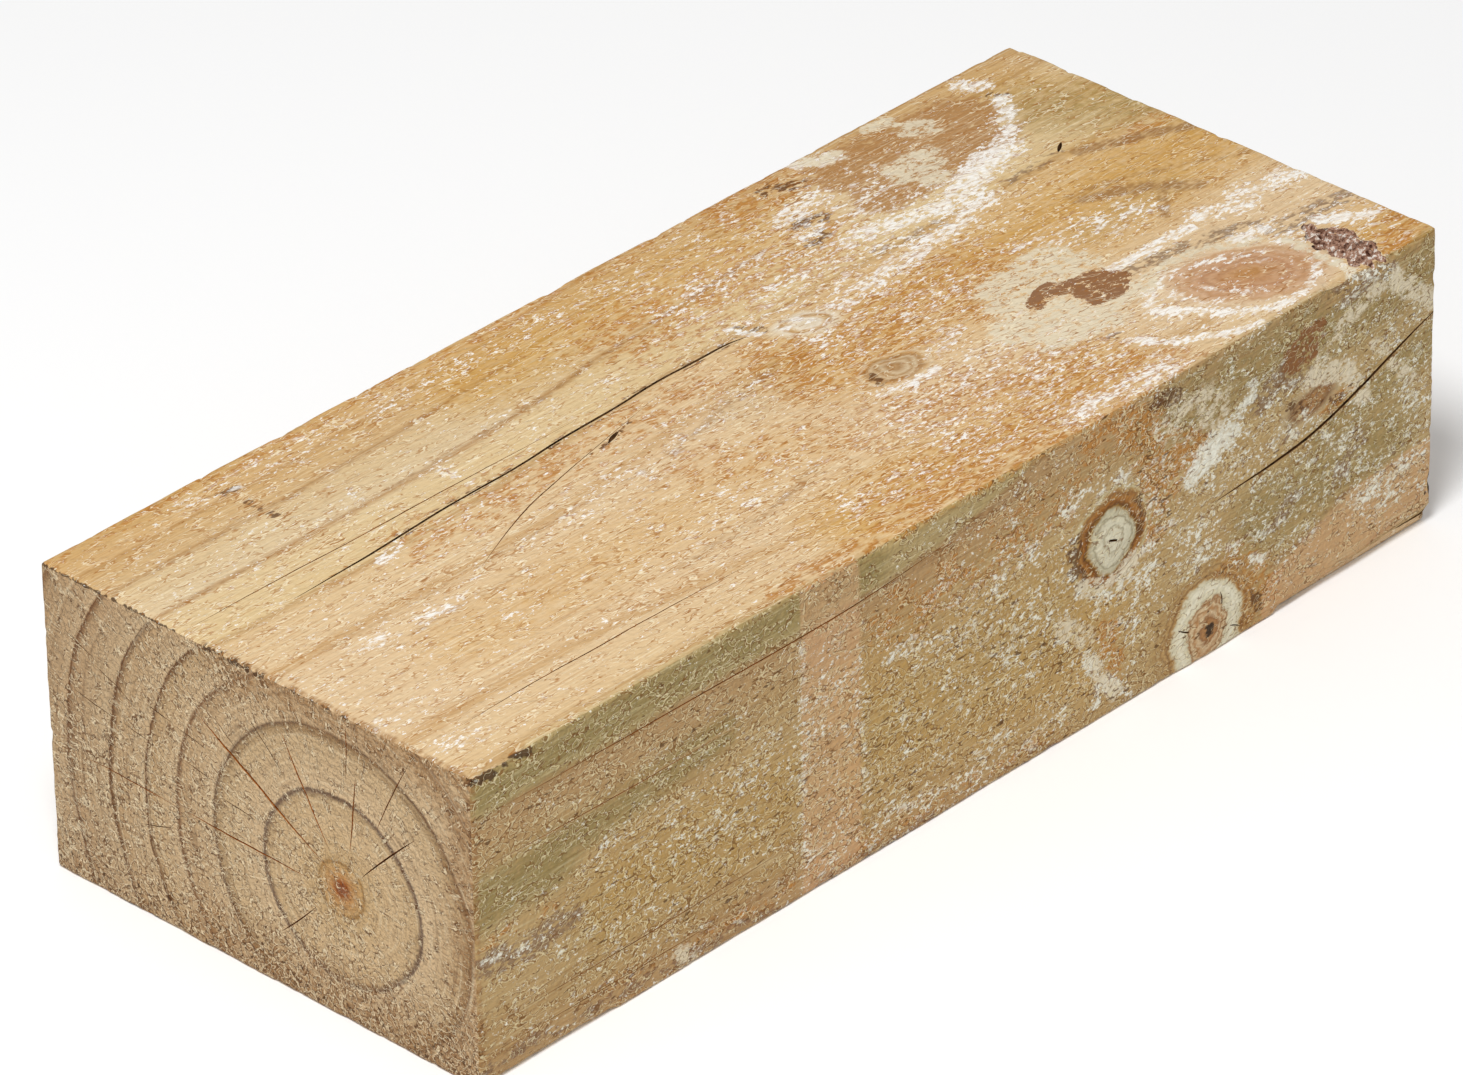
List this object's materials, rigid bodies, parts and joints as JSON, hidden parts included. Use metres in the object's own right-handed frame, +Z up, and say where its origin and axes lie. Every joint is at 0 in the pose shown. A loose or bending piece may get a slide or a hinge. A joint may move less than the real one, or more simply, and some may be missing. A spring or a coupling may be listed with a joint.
{
  "type": "timber sleeper",
  "caption": "Short cut length of rough-sawn softwood sleeper: rectangular section with rubbed arrises, seasoning checks, knots and worn corners, for edging, steps and raised beds.",
  "frame": {"origin": "middle of the underside, on the floor that the sleeper lies on", "axes": "+X along the grain from the near cut end to the far one, +Y to the left side, +Z up"},
  "size_m": [0.48, 0.2, 0.12],
  "materials": {
    "timber": "rough-sawn softwood, unplaned, lightly weathered and mould-specked"
  },
  "bodies": {
    "root": {"sleeper": "timber"}
  },
  "joints": []
}
